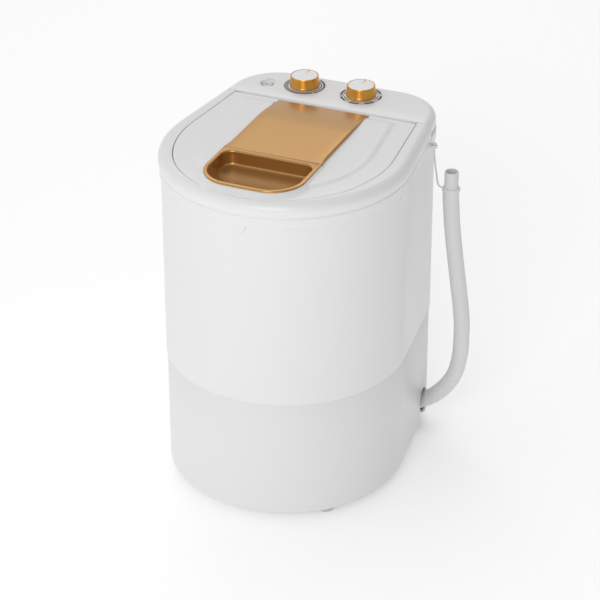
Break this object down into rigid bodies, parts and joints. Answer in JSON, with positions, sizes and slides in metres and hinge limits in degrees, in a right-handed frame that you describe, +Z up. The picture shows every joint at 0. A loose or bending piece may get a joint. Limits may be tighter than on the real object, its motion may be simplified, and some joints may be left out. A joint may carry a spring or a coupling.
{
  "type": "top load washing machine",
  "caption": "Compact top-load washing machine with a D-shaped cabinet, lift-up lid with a scooped handle, rotary controls, belt-driven pulsator and a side drain hose.",
  "frame": {"origin": "centre of the bounding box's bottom face, on the floor, measured without the hose, its cuff and its strap", "axes": "+Z up, -Y towards the front, +X towards the hose side"},
  "size_m": [0.4179, 0.429, 0.5456],
  "materials": {
    "casing_white": "satin-gloss moulded",
    "gold": "satin metallic gold paint",
    "knob_white": "gloss",
    "tub_plastic": "satin",
    "pulsator_plastic": "satin",
    "inner_plastic": "matte",
    "dark_plastic": "matte",
    "foot_plastic": "matte",
    "hose_plastic": "satin",
    "zinc_steel": "zinc plated",
    "shaft_steel": "ground",
    "bronze": "sintered",
    "cast_alloy": "as cast",
    "motor_paint": "semi-gloss",
    "belt_rubber": "matte",
    "seal_rubber": "matte"
  },
  "bodies": {
    "cabinet": {"base_casing": "casing_white", "floor_plate": "inner_plastic", "feet": "foot_plastic", "floor_screws": "zinc_steel", "barrel": "casing_white", "top_ring": "casing_white", "ring_screws": "zinc_steel", "wash_tub": "tub_plastic", "lint_filter": "inner_plastic", "control_panel": "casing_white", "panel_screws": "zinc_steel", "water_inlet": "casing_white", "fill_pipe": "inner_plastic", "timer_unit": "dark_plastic", "selector_switch": "dark_plastic", "hinge_pins": "shaft_steel", "upper_bush": "bronze", "lower_bush": "bronze", "shaft_seal": "seal_rubber", "bearing_housing": "cast_alloy", "housing_bolts": "zinc_steel", "drive_belt": "belt_rubber", "motor_bracket": "zinc_steel", "motor": "motor_paint", "motor_bolts": "zinc_steel", "capacitor": "inner_plastic", "capacitor_clip": "zinc_steel", "drain_elbow": "inner_plastic", "drain_clamp": "zinc_steel", "cord_gland": "dark_plastic", "drain_hose": "hose_plastic", "hose_cuff": "hose_plastic", "hose_strap": "hose_plastic"},
    "lid": {"lid": "casing_white", "lid_strip": "gold", "lid_handle": "gold"},
    "timer": {"timer_shaft": "shaft_steel", "timer_knob": "gold", "timer_knob_cap": "knob_white"},
    "selector": {"selector_shaft": "shaft_steel", "selector_knob": "gold", "selector_knob_cap": "knob_white"},
    "agitator": {"pulsator": "pulsator_plastic", "pulsator_screw": "zinc_steel", "drive_shaft": "shaft_steel", "driven_pulley": "cast_alloy", "pulley_nut": "zinc_steel"},
    "rotor": {"motor_shaft": "shaft_steel", "motor_pulley": "cast_alloy"}
  },
  "joints": [
    {"name": "lid_hinge", "type": "hinge", "parent": "cabinet", "child": "lid", "pos_m": [0, 0.109, 0.5225], "axis": [-1, 0, 0], "range_deg": [0, 95]},
    {"name": "timer_turn", "type": "hinge", "parent": "cabinet", "child": "timer", "pos_m": [-0.056, 0.168, 0.5286], "axis": [0, 0, -1], "range_deg": [0, 300]},
    {"name": "selector_turn", "type": "hinge", "parent": "cabinet", "child": "selector", "pos_m": [0.035, 0.168, 0.5286], "axis": [0, 0, -1], "range_deg": [-120, 120]},
    {"name": "pulsator_spin", "type": "hinge", "parent": "cabinet", "child": "agitator", "pos_m": [0, -0.03, 0.177], "axis": [0, 0, 1], "continuous": true},
    {"name": "motor_spin", "type": "hinge", "parent": "cabinet", "child": "rotor", "pos_m": [0, 0.095, 0.09], "axis": [0, 0, 1], "continuous": true}
  ],
  "couplings": [
    {"joint": "motor_spin", "follows": "pulsator_spin", "ratio": 4}
  ]
}
